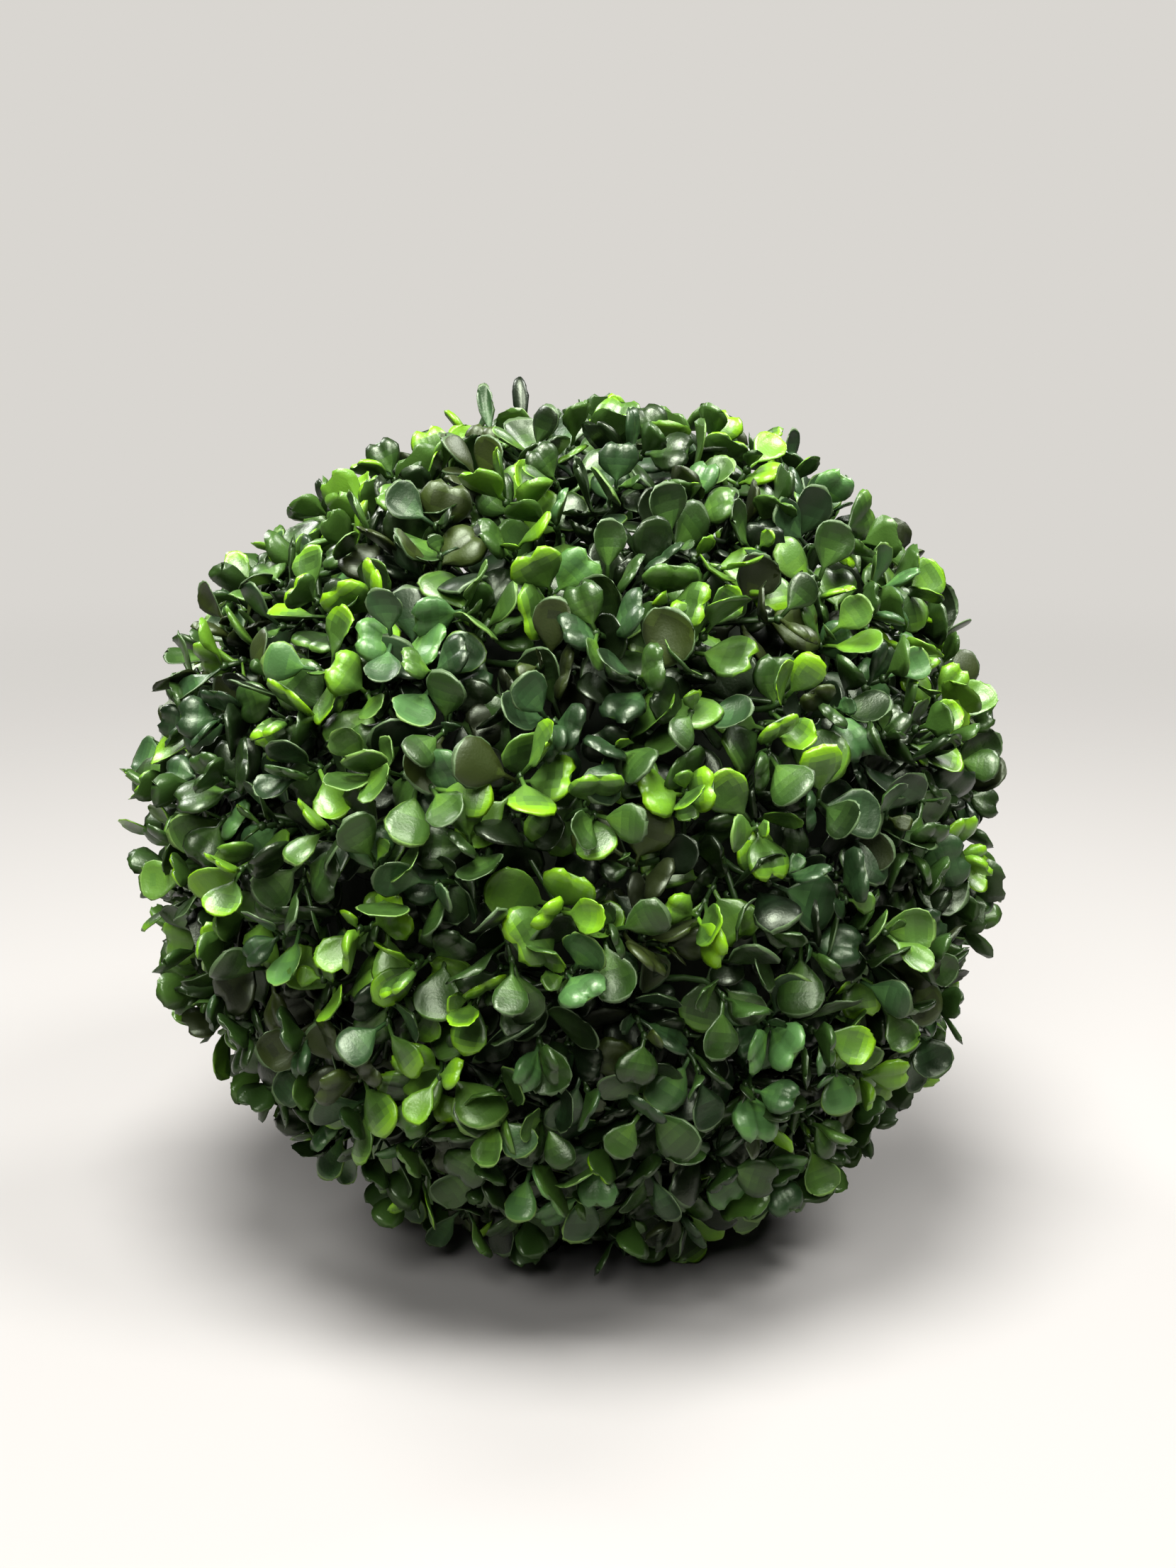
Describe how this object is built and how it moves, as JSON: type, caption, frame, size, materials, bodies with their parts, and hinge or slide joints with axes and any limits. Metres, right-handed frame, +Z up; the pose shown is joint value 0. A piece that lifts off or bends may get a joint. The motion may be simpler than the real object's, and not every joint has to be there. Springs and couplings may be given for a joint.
{
  "type": "artificial box ball",
  "caption": "Round artificial box topiary ball of dark and fresh green moulded leaves, with no stem and no pot, resting on its own leaves.",
  "frame": {"origin": "on the surface that the ball stands on, under the middle of its box", "axes": "+Z up through the two poles of the ball, +Y away from its front, +X to its right"},
  "size_m": [0.2842, 0.2817, 0.2832],
  "materials": {
    "core_plastic": "matt",
    "deep_foliage": "satin",
    "fresh_foliage": "satin"
  },
  "bodies": {
    "root": {"core_upper_half": "core_plastic", "core_lower_half": "core_plastic", "spray_upper_girdle_01": "deep_foliage", "spray_upper_girdle_02": "deep_foliage", "spray_upper_girdle_03": "deep_foliage", "spray_upper_girdle_04": "deep_foliage", "spray_upper_girdle_05": "fresh_foliage", "spray_upper_girdle_06": "fresh_foliage", "spray_upper_girdle_07": "deep_foliage", "spray_upper_girdle_08": "deep_foliage", "spray_upper_girdle_09": "fresh_foliage", "spray_upper_girdle_10": "deep_foliage", "spray_upper_shoulder_01": "deep_foliage", "spray_upper_shoulder_02": "deep_foliage", "spray_upper_shoulder_03": "deep_foliage", "spray_upper_shoulder_04": "deep_foliage", "spray_upper_shoulder_05": "deep_foliage", "spray_upper_shoulder_06": "deep_foliage", "spray_upper_shoulder_07": "deep_foliage", "spray_upper_shoulder_08": "fresh_foliage", "spray_upper_crown_01": "deep_foliage", "spray_upper_crown_02": "deep_foliage", "spray_upper_crown_03": "deep_foliage", "spray_upper_crown_04": "deep_foliage", "spray_upper_crown_05": "deep_foliage", "spray_upper_pole_01": "fresh_foliage", "spray_lower_girdle_01": "fresh_foliage", "spray_lower_girdle_02": "fresh_foliage", "spray_lower_girdle_03": "deep_foliage", "spray_lower_girdle_04": "fresh_foliage", "spray_lower_girdle_05": "deep_foliage", "spray_lower_girdle_06": "fresh_foliage", "spray_lower_girdle_07": "deep_foliage", "spray_lower_girdle_08": "deep_foliage", "spray_lower_girdle_09": "fresh_foliage", "spray_lower_girdle_10": "deep_foliage", "spray_lower_shoulder_01": "fresh_foliage", "spray_lower_shoulder_02": "fresh_foliage", "spray_lower_shoulder_03": "fresh_foliage", "spray_lower_shoulder_04": "deep_foliage", "spray_lower_shoulder_05": "deep_foliage", "spray_lower_shoulder_06": "deep_foliage", "spray_lower_shoulder_07": "deep_foliage", "spray_lower_shoulder_08": "deep_foliage", "spray_lower_crown_01": "fresh_foliage", "spray_lower_crown_02": "deep_foliage", "spray_lower_crown_03": "fresh_foliage", "spray_lower_crown_04": "deep_foliage", "spray_lower_crown_05": "deep_foliage", "spray_lower_pole_01": "deep_foliage"}
  },
  "joints": []
}
